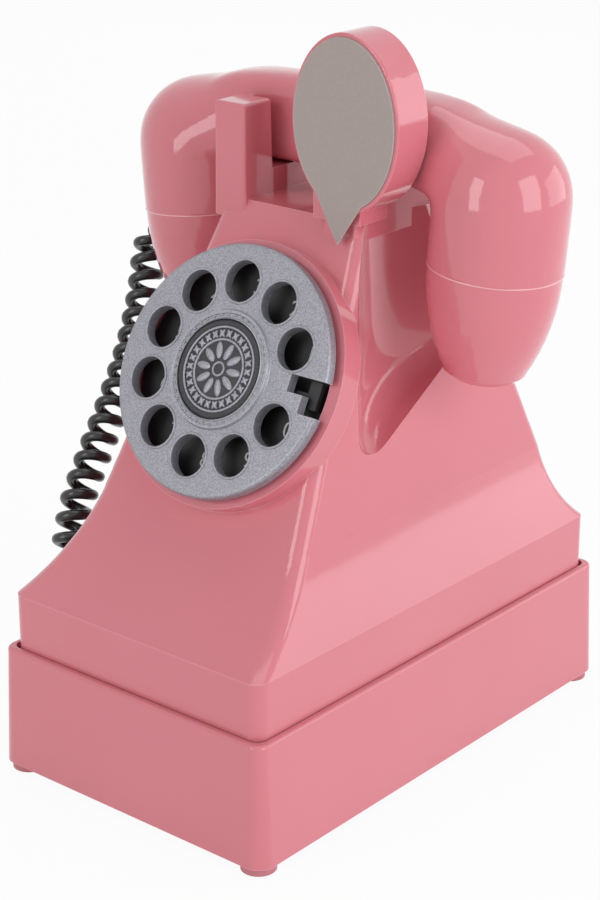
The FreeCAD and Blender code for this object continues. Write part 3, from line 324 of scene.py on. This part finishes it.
def add_torus(form: bmesh.types.BMesh, place: Matrix, major: float, minor: float,
              around: int = 96, across: int = 10) -> None:
    """Add a ring to a bmesh.

    Args:
        form: The bmesh to add to.
        place: The ring's frame, with its axis along Z.
        major: Radius of the ring.
        minor: Radius of its section.
        around: Steps round the ring.
        across: Steps round the section.
    """
    loops = []
    for step in range(around):
        out = on_circle(2 * math.pi * step / around)
        loop = []
        for part in range(across):
            turn = 2 * math.pi * part / across
            rise = Vector((0, 0, minor * math.sin(turn)))
            loop.append(form.verts.new(place @ (out * (major + minor * math.cos(turn)) + rise)))
        loops.append(loop)
    for step in range(around):
        here, there = loops[step], loops[(step + 1) % around]
        for part in range(across):
            after = (part + 1) % across
            form.faces.new((here[part], there[part], there[after], here[after]))


@dataclass
class Housing:
    """The plinth, the hood and every other node that keeps its own shape."""

    materials: dict[str, bpy.types.Material]
    own_finish: dict[str, str] = field(default_factory=lambda: {"medallion_cap": "antique_metal"})

    def dress(self) -> None:
        """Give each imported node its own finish, or else that of its slot."""
        for entry in frame["record"]["subparts"]:
            node = frame["nodes"][entry["node"]]
            finish = self.own_finish.get(entry["node"], entry["material_slot"])
            node.data.materials.clear()
            node.data.materials.append(self.materials[finish])
            log.info("node %s wears %s", entry["node"], finish)


@dataclass
class Dial:
    """Numerals under the finger holes, the holes' lips and the relief of the wheel's middle."""

    materials: dict[str, bpy.types.Material]
    plate_level: float = 2.4 * MM
    wheel_top: float = 11.4 * MM
    wheel_level: float = 12.6 * MM
    hole_count: int = 10
    hole_ring: float = 30.0 * MM
    hole_radius: float = 7.0 * MM
    hole_spacing: float = 34.4
    lip: float = 0.45 * MM
    lip_steps: int = 64
    numeral_height: float = 7.5 * MM
    numeral_depth: float = 0.05 * MM
    numeral_lift: float = 0.06 * MM
    bead_ring: float = 18.5 * MM
    bead_radius: float = 0.55 * MM
    bead_sink: float = 0.55 * MM
    bead_count: int = 40
    bead_steps: int = 10
    bead_rows: int = 6
    petal_ring: float = 6.3 * MM
    petal_length: float = 3.1 * MM
    petal_width: float = 1.35 * MM
    petal_count: int = 10
    leaf_ring: float = 12.0 * MM
    leaf_length: float = 1.7 * MM
    leaf_width: float = 0.62 * MM
    leaf_rise: float = 0.7 * MM
    leaf_sink: float = 0.45 * MM
    leaf_count: int = 26
    leaf_lean: float = 38.0
    leaf_steps: int = 20
    leaf_rows: int = 10
    ring_radii: Sequence[float] = (2.2 * MM, 10.0 * MM, 14.2 * MM)
    ring_section: float = 0.45 * MM
    ring_sink: float = 0.35 * MM

    def place(self) -> Matrix:
        """Find the dial's frame from its joint.

        Returns:
            The frame, with Z along the dial's axis and Y up the sloping face.
        """
        joint = [item for item in frame["joints"] if item["name"] == "dial_turn"][0]
        out = -Vector(joint["axis"]).normalized()
        across = Vector((1, 0, 0))
        up = out.cross(across)
        turn = Matrix((across, up, out)).transposed().to_4x4()
        return Matrix.Translation(Vector(joint["pos_m"])) @ turn

    def hole_place(self, index: int, level: float) -> Matrix:
        """Find the frame of one finger hole.

        Args:
            index: Which hole, counted from 0.
            level: How far above the dial's own frame.

        Returns:
            The dial's frame, moved to the middle of the hole.
        """
        first = (360.0 - (self.hole_count - 1) * self.hole_spacing) / 2
        angle = math.radians(first + index * self.hole_spacing)
        return self.place() @ Matrix.Translation(on_circle(angle) * self.hole_ring + Vector((0, 0, level)))

    def numerals(self) -> bpy.types.Object:
        """Print the numerals on the plate, one behind each finger hole.

        Returns:
            The numerals as one flat piece.
        """
        form = bmesh.new()
        for index in range(self.hole_count):
            curve = bpy.data.curves.new("numeral", "FONT")
            curve.body = str((index + 1) % self.hole_count)
            curve.size = self.numeral_height
            curve.extrude = self.numeral_depth
            curve.align_x = "CENTER"
            curve.align_y = "CENTER"
            holder = bpy.data.objects.new("numeral", curve)
            mesh = bpy.data.meshes.new_from_object(holder)
            mesh.transform(self.hole_place(index, self.plate_level + self.numeral_lift))
            form.from_mesh(mesh)
            bpy.data.objects.remove(holder)
            bpy.data.curves.remove(curve)
            bpy.data.meshes.remove(mesh)
        piece = new_piece("plate_numerals", form, self.materials["numeral"], False)
        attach(piece, "base")
        return piece

    def lips(self) -> bpy.types.Object:
        """Raise a fine lip round each finger hole of the wheel.

        Returns:
            The lips as one piece.
        """
        form = bmesh.new()
        for index in range(self.hole_count):
            spot = self.hole_place(index, self.wheel_top)
            add_torus(form, spot, self.hole_radius + self.lip, self.lip, self.lip_steps)
        piece = new_piece("hole_lips", form, self.materials["wheel_metal"])
        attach(piece, "dial")
        return piece

    def add_leaf(self, form: bmesh.types.BMesh, spin: Matrix, ring: float, lean: float,
                 length: float, width: float) -> None:
        """Add one leaf of the relief, a low drop that points outwards.

        Args:
            form: The bmesh to add to.
            spin: The turn that takes the leaf to its place round the middle.
            ring: Its distance from the middle.
            lean: How far it leans from the outward line, in degrees.
            length: Half its length.
            width: Half its width.
        """
        spot = Matrix.Translation(Vector((ring, 0, self.wheel_level - self.leaf_sink)))
        tilt = Matrix.Rotation(math.radians(lean), 4, "Z")
        shape = Matrix.Diagonal((length, width, self.leaf_rise, 1.0))
        bmesh.ops.create_uvsphere(form, u_segments=self.leaf_steps, v_segments=self.leaf_rows, radius=1.0,
                                  matrix=self.place() @ spin @ spot @ tilt @ shape)

    def relief(self) -> bpy.types.Object:
        """Raise beads, a plain rosette, a band of crossed leaves and three rings on the wheel's middle.

        Returns:
            The relief as one piece.
        """
        form = bmesh.new()
        for index in range(self.bead_count):
            angle = 2 * math.pi * index / self.bead_count
            spot = on_circle(angle) * self.bead_ring + Vector((0, 0, self.wheel_level - self.bead_sink))
            bmesh.ops.create_uvsphere(form, u_segments=self.bead_steps, v_segments=self.bead_rows,
                                      radius=self.bead_radius, matrix=self.place() @ Matrix.Translation(spot))
        for index in range(self.petal_count):
            spin = Matrix.Rotation(2 * math.pi * index / self.petal_count, 4, "Z")
            self.add_leaf(form, spin, self.petal_ring, 0.0, self.petal_length, self.petal_width)
        for index in range(self.leaf_count):
            spin = Matrix.Rotation(2 * math.pi * (index + 0.5) / self.leaf_count, 4, "Z")
            for lean in (-self.leaf_lean, self.leaf_lean):
                self.add_leaf(form, spin, self.leaf_ring, lean, self.leaf_length, self.leaf_width)
        level = self.place() @ Matrix.Translation(Vector((0, 0, self.wheel_level - self.ring_sink)))
        for radius in self.ring_radii:
            add_torus(form, level, radius, self.ring_section)
        piece = new_piece("medallion_relief", form, self.materials["wheel_metal"])
        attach(piece, "dial")
        return piece


@dataclass
class Handset:
    """The flowing outer form of the handset and the parting lines of its cups, coloured as a painted highlight."""

    materials: dict[str, bpy.types.Material]
    cup_x: float = 63.0 * MM
    cup_y: float = 18.0 * MM
    cup_z: float = 179.0 * MM
    cup_lean: float = 5.0
    cup_radius: float = 22.4 * MM
    cup_side: float = 21.5 * MM
    crown_lift: float = 2.0 * MM
    crown_rows: int = 13
    crown_steps: int = 48
    neck_x: float = 28.0 * MM
    neck_low: float = 203.0 * MM
    neck_top: float = 231.8 * MM
    neck_half: float = 10.8 * MM
    neck_corner: float = 6.0 * MM
    neck_steps: int = 40
    voxel: float = 1.1 * MM
    smoothing: int = 70
    smoothing_pull: float = 0.5
    regain: float = 0.42 * MM
    handle_bottom: float = 202.0 * MM
    cradle_reach: float = 36.0 * MM
    parting_radius: float = 0.34 * MM

    def cup_place(self, side: int) -> Matrix:
        """Return the frame of one cup, with its parting at the level of Z = 0."""
        lean = Matrix.Rotation(math.radians(side * self.cup_lean), 4, "Y")
        return Matrix.Translation(Vector((side * self.cup_x, self.cup_y, self.cup_z))) @ lean

    def neck_points(self, side: int) -> list[Vector]:
        """Outline the handle's section where it starts to widen.

        Args:
            side: -1 for the left end, 1 for the right one.

        Returns:
            Points round the section, a rectangle with round corners.
        """
        points = []
        reach = self.neck_half - self.neck_corner
        for step in range(self.neck_steps):
            angle = 2 * math.pi * (step + 0.5) / self.neck_steps
            upper = math.sin(angle) > 0
            level = self.neck_top - self.neck_corner if upper else self.neck_low + self.neck_corner
            middle = self.cup_y + math.copysign(reach, math.cos(angle))
            points.append(Vector((side * self.neck_x, middle + self.neck_corner * math.cos(angle),
                                  level + self.neck_corner * math.sin(angle))))
        return points

    def shoulder(self, side: int) -> bpy.types.Mesh:
        """Span the handle's end and the crown of one cup with a taut skin.

        Args:
            side: -1 for the left cup, 1 for the right one.

        Returns:
            The skin as a closed mesh.
        """
        crown = self.cup_place(side) @ Matrix.Translation(Vector((0, 0, self.cup_side + self.crown_lift)))
        points = self.neck_points(side)
        for row in range(self.crown_rows):
            rise = math.radians(90.0 * row / (self.crown_rows - 1))
            reach = math.cos(rise)
            for step in range(self.crown_steps):
                turn = 2 * math.pi * step / self.crown_steps
                spot = Vector((math.cos(turn) * reach, math.sin(turn) * reach, math.sin(rise)))
                points.append(crown @ (spot * self.cup_radius))
        form = bmesh.new()
        hull = bmesh.ops.convex_hull(form, input=[form.verts.new(point) for point in points])
        inner = hull["geom_interior"] + hull["geom_unused"]
        spare = dict.fromkeys(item for item in inner if isinstance(item, bmesh.types.BMVert))
        bmesh.ops.delete(form, geom=list(spare), context="VERTS")
        mesh = bpy.data.meshes.new("shoulder")
        form.to_mesh(mesh)
        form.free()
        return mesh

    def blank(self) -> bpy.types.Mesh:
        """Melt the handset's nodes and its two shoulders into one soft skin.

        Returns:
            The skin, caps included.
        """
        form = bmesh.new()
        for node in ("handset_shell", "ear_cap", "mouth_cap"):
            form.from_mesh(frame["nodes"][node].data)
        for side in LEFT_AND_RIGHT:
            mesh = self.shoulder(side)
            form.from_mesh(mesh)
            bpy.data.meshes.remove(mesh)
        mesh = bpy.data.meshes.new("handset_blank")
        form.to_mesh(mesh)
        form.free()
        holder = bpy.data.objects.new("handset_blank", mesh)
        bpy.context.collection.objects.link(holder)
        skin = holder.modifiers.new("skin", "REMESH")
        skin.mode = "VOXEL"
        skin.voxel_size = self.voxel
        soft = holder.modifiers.new("soft", "SMOOTH")
        soft.factor = self.smoothing_pull
        soft.iterations = self.smoothing
        graph = bpy.context.evaluated_depsgraph_get()
        result = bpy.data.meshes.new_from_object(holder.evaluated_get(graph))
        bpy.data.objects.remove(holder)
        bpy.data.meshes.remove(mesh)
        return result

    def form(self) -> bpy.types.Object:
        """Swell the soft skin back to size, clear the cradle, and cut it at both partings.

        Returns:
            The piece that stands for the handset's shell.
        """
        mesh = self.blank()
        form = bmesh.new()
        form.from_mesh(mesh)
        bpy.data.meshes.remove(mesh)
        form.normal_update()
        for vertex in form.verts:
            vertex.co += vertex.normal * self.regain
            if abs(vertex.co.x) < self.cradle_reach:
                vertex.co.z = max(vertex.co.z, self.handle_bottom)
        for side in LEFT_AND_RIGHT:
            place = self.cup_place(side)
            faces = [face for face in form.faces if side * face.calc_center_median().x > 0]
            # A dict keeps its items in order, so that each run gives the same mesh.
            geom = dict.fromkeys(item for face in faces for item in (face, *face.edges, *face.verts))
            cut = bmesh.ops.bisect_plane(form, geom=list(geom), plane_co=place.translation,
                                         plane_no=place.to_3x3() @ Vector((0, 0, 1)), clear_inner=True)
            rim = [item for item in cut["geom_cut"] if isinstance(item, bmesh.types.BMEdge)]
            bmesh.ops.holes_fill(form, edges=rim)
        piece = new_piece("handset_form", form, self.materials["housing"])
        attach(piece, "handset")
        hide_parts("handset_shell")
        return piece

    def partings(self) -> bpy.types.Object:
        """Mark the joint between each cup and its cap with a fine ring whose pale colour is a painted highlight.

        Returns:
            Both lines as one piece.
        """
        form = bmesh.new()
        for side in LEFT_AND_RIGHT:
            add_torus(form, self.cup_place(side), self.cup_radius, self.parting_radius)
        # The rings' pale colour is a painted highlight on the parting lines.
        piece = new_piece("cup_parting_highlights", form, self.materials["parting"])
        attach(piece, "handset")
        return piece


@dataclass
class CurlyCord:
    """The curly cord from the mouth cap to the plug in the plinth, with its route in millimetres."""

    materials: dict[str, bpy.types.Material]
    route: Sequence[tuple[float, float, float]] = (
        (-85.0, 18.0, 168.0), (-89.5, 18.0, 167.6), (-92.0, 17.0, 160.5), (-89.5, 13.0, 150.5),
        (-86.0, 6.5, 139.5), (-80.5, -5.5, 125.0), (-76.0, -20.0, 110.0), (-72.5, -35.0, 94.5),
        (-69.8, -46.5, 81.5), (-68.0, -52.5, 69.0), (-66.5, -57.0, 55.5), (-58.0, -57.0, 55.0),
    )
    route_steps: int = 40
    wire: float = 3.8 * MM
    coil: float = 4.7 * MM
    turns: int = 18
    steps_per_turn: int = 22
    ramp_turns: float = 1.2
    end_steps: int = 8
    sides: int = 12
    straight_top: float = 6.0 * MM
    straight_foot: float = 12.0 * MM
    least_span: float = 1e-9

    def route_points(self) -> list[Vector]:
        """Read points along the smooth route of the cord.

        Returns:
            The points, from the handset to the plug.
        """
        curve = bpy.data.curves.new("cord_route", "CURVE")
        curve.dimensions = "3D"
        curve.resolution_u = self.route_steps
        spline = curve.splines.new("NURBS")
        spline.points.add(len(self.route) - 1)
        for point, spot in zip(spline.points, self.route):
            point.co = (*(number * MM for number in spot), 1.0)
        spline.order_u = 3
        spline.use_endpoint_u = True
        holder = bpy.data.objects.new("cord_route", curve)
        mesh = bpy.data.meshes.new_from_object(holder)
        points = [vertex.co.copy() for vertex in mesh.vertices]
        bpy.data.objects.remove(holder)
        bpy.data.curves.remove(curve)
        bpy.data.meshes.remove(mesh)
        return points

    def travel(self, step: int, count: int, total: float) -> float:
        """Find how far along the route one step of the wire is.

        Args:
            step: The step, below 0 before the curls and above count after them.
            count: Steps in the curls.
            total: Length of the route.

        Returns:
            The distance from the route's start.
        """
        start, end = self.straight_top, total - self.straight_foot
        if step < 0:
            return start * (1 + step / self.end_steps)
        if step > count:
            return end + (total - end) * (step - count) / self.end_steps
        return start + (end - start) * step / count

    def wire_points(self) -> list[Vector]:
        """Wind the wire round the route, straight at both ends.

        Returns:
            The middle of the wire, from the handset to the plug.
        """
        points = self.route_points()
        lengths = [0.0]
        for before, after in zip(points, points[1:]):
            lengths.append(lengths[-1] + (after - before).length)
        count = self.turns * self.steps_per_turn
        margin = int(self.steps_per_turn * self.ramp_turns)
        wound = []
        side = Vector((0, 0, 1))
        index = 0
        for step in range(-self.end_steps, count + self.end_steps + 1):
            travel = self.travel(step, count, lengths[-1])
            while index < len(points) - 2 and lengths[index + 1] < travel:
                index += 1
            span = max(lengths[index + 1] - lengths[index], self.least_span)
            centre = points[index].lerp(points[index + 1], min(1.0, (travel - lengths[index]) / span))
            along = (points[index + 1] - points[index]).normalized()
            side = (side - along * side.dot(along)).normalized()
            other = along.cross(side)
            ramp = max(0.0, min(1.0, step / margin, (count - step) / margin))
            radius = self.coil * ramp * ramp * (3 - 2 * ramp)
            angle = 2 * math.pi * step / self.steps_per_turn
            wound.append(centre + (side * math.cos(angle) + other * math.sin(angle)) * radius)
        return wound

    def build(self) -> bpy.types.Object:
        """Sweep the wire and join it to the base and the handset.

        Returns:
            The cord.
        """
        path = self.wire_points()
        form = bmesh.new()
        rings = []
        side = Vector((0, 1, 0))
        radius = self.wire / 2
        for index, spot in enumerate(path):
            along = (path[min(index + 1, len(path) - 1)] - path[max(index - 1, 0)]).normalized()
            side = (side - along * side.dot(along)).normalized()
            other = along.cross(side)
            ring = []
            for part in range(self.sides):
                turn = 2 * math.pi * part / self.sides
                ring.append(form.verts.new(spot + (side * math.cos(turn) + other * math.sin(turn)) * radius))
            rings.append(ring)
        for here, there in zip(rings, rings[1:]):
            for part in range(self.sides):
                after = (part + 1) % self.sides
                form.faces.new((here[part], here[after], there[after], there[part]))
        form.faces.new(rings[0][::-1])
        form.faces.new(rings[-1])
        piece = new_piece("curly_cord_wire", form, self.materials["cord_black"])
        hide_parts("curly_cord")
        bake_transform(piece)
        return piece


@dataclass
class Studio:
    """Camera, floor, surroundings and soft lamps."""

    azimuth: float = 39.9424
    elevation: float = 20.9342
    distance: float = 0.8177
    shift_right: float = -3.84 * MM
    shift_up: float = 94.9 * MM
    floor_lift: float = 3.0 * MM
    focal_pixels: float = 2239.82
    picture_height: float = 900.0
    sensor: float = 36.0
    nearest: float = 0.01
    world_light: float = 0.36
    world_seen: float = 0.98
    floor_half: float = 6.0
    floor_tone: Colour = (0.9, 0.9, 0.9)
    floor_rough: float = 0.9
    floor_glow: float = 0.94
    lamp_aim: tuple[float, float, float] = (0.0, 0.0, 0.13)

    def axes(self) -> tuple[Vector, Vector, Vector]:
        """Work out the camera's directions.

        Returns:
            The camera's right, up and backward directions.
        """
        turn, rise = math.radians(self.azimuth), math.radians(self.elevation)
        back = Vector((math.sin(turn) * math.cos(rise), -math.cos(turn) * math.cos(rise), math.sin(rise)))
        right = Vector((math.cos(turn), math.sin(turn), 0))
        return right, back.cross(right), back

    def camera(self) -> None:
        """Set the camera at the photograph's angle."""
        right, up, back = self.axes()
        lens = bpy.data.cameras.new("camera")
        lens.sensor_fit = "VERTICAL"
        lens.sensor_height = self.sensor
        lens.lens = self.focal_pixels / self.picture_height * self.sensor
        lens.clip_start = self.nearest
        item = bpy.data.objects.new("camera", lens)
        spot = back * self.distance + right * self.shift_right + up * self.shift_up
        spot += Vector((0, 0, self.floor_lift))
        item.matrix_world = Matrix.Translation(spot) @ Matrix((right, up, back)).transposed().to_4x4()
        bpy.context.collection.objects.link(item)
        bpy.context.scene.camera = item

    def lamp(self, name: str, spot: tuple[float, float, float], size: tuple[float, float], power: float,
             mirrored: bool = True, tint: Colour = WHITE) -> None:
        """Hang a soft rectangular lamp that faces the middle of the object.

        Args:
            name: The lamp's name.
            spot: Where it hangs, in metres.
            size: Its width and height.
            power: Its power in watts.
            mirrored: Whether glossy surfaces show it.
            tint: The colour of its light.
        """
        lamp = bpy.data.lights.new(name, "AREA")
        lamp.shape = "RECTANGLE"
        lamp.size, lamp.size_y = size
        lamp.energy = power
        lamp.color = tint
        item = bpy.data.objects.new(name, lamp)
        item.visible_glossy = mirrored
        item.location = Vector(spot)
        item.rotation_euler = (Vector(self.lamp_aim) - Vector(spot)).to_track_quat("-Z", "Y").to_euler()
        bpy.context.collection.objects.link(item)

    def seen_directly(self, tree: bpy.types.NodeTree) -> bpy.types.NodeSocket:
        """Tell the rays that show a surface, or its reflection, from those that light by it.

        Args:
            tree: The nodes of the floor or the world.

        Returns:
            A socket that is 1 for camera, glossy and transmission rays.
        """
        path = tree.nodes.new("ShaderNodeLightPath")
        total = path.outputs["Is Camera Ray"]
        for name in ("Is Glossy Ray", "Is Transmission Ray"):
            add = tree.nodes.new("ShaderNodeMath")
            add.operation = "MAXIMUM"
            tree.links.new(total, add.inputs[0])
            tree.links.new(path.outputs[name], add.inputs[1])
            total = add.outputs[0]
        return total

    def world(self) -> None:
        """Make the surroundings white to the eye and softly lit for the object."""
        world = bpy.data.worlds.new("studio")
        world.use_nodes = True
        tree = world.node_tree
        ground = tree.nodes["Background"]
        ground.inputs["Color"].default_value = (*WHITE, 1.0)
        level = tree.nodes.new("ShaderNodeMapRange")
        level.inputs["To Min"].default_value = self.world_light
        level.inputs["To Max"].default_value = self.world_seen
        tree.links.new(self.seen_directly(tree), level.inputs["Value"])
        tree.links.new(level.outputs["Result"], ground.inputs["Strength"])
        bpy.context.scene.world = world

    def floor(self) -> None:
        """Lay a white floor that keeps a soft shadow."""
        form = bmesh.new()
        bmesh.ops.create_grid(form, x_segments=1, y_segments=1, size=self.floor_half)
        material = bpy.data.materials.new("White floor")
        material.use_nodes = True
        tree = material.node_tree
        shader = tree.nodes["Principled BSDF"]
        shader.inputs["Base Color"].default_value = (*self.floor_tone, 1.0)
        shader.inputs["Roughness"].default_value = self.floor_rough
        glow = tree.nodes.new("ShaderNodeEmission")
        both = tree.nodes.new("ShaderNodeMixShader")
        level = tree.nodes.new("ShaderNodeMath")
        level.operation = "MULTIPLY"
        level.inputs[1].default_value = self.floor_glow
        tree.links.new(self.seen_directly(tree), level.inputs[0])
        tree.links.new(level.outputs[0], both.inputs["Fac"])
        tree.links.new(shader.outputs["BSDF"], both.inputs[1])
        tree.links.new(glow.outputs["Emission"], both.inputs[2])
        tree.links.new(both.outputs["Shader"], tree.nodes["Material Output"].inputs["Surface"])
        piece = new_piece("floor", form, material, False)

    def build(self) -> None:
        """Set up the whole studio."""
        bpy.context.scene.view_settings.view_transform = "Standard"
        self.camera()
        self.world()
        self.floor()
        self.lamp("right window", spot=(1.2, -0.1, 0.5), size=(0.7, 1.1), power=7.6, tint=COOL)
        self.lamp("right back card", spot=(0.9, 0.95, 0.35), size=(1.0, 0.8), power=4.0, tint=COOL)
        self.lamp("front window", spot=(-0.25, -1.25, 0.5), size=(0.45, 1.1), power=5.4)
        self.lamp("top", spot=(0.0, 0.25, 1.25), size=(0.9, 0.9), power=3.4)
        self.lamp("back fill", spot=(-0.9, 1.1, 0.7), size=(0.9, 0.9), power=2.4, mirrored=False)


def main() -> None:
    """Dress the model, add the pieces that only show, and set up the studio."""
    logging.basicConfig(level=logging.INFO)
    group = grain_group()
    edges = edge_group()
    materials = {slot: finish.build(group, edges) for slot, finish in FINISHES.items()}
    Studio().build()
    pieces = [CurlyCord(materials).build()]
    Housing(materials).dress()
    dial = Dial(materials)
    pieces += [dial.numerals(), dial.relief(), dial.lips()]
    handset = Handset(materials)
    pieces += [handset.form(), handset.partings()]
    for piece in pieces:
        log.info("piece %s with %d faces", piece.name, len(piece.data.polygons))


if __name__ == "__main__":
    main()
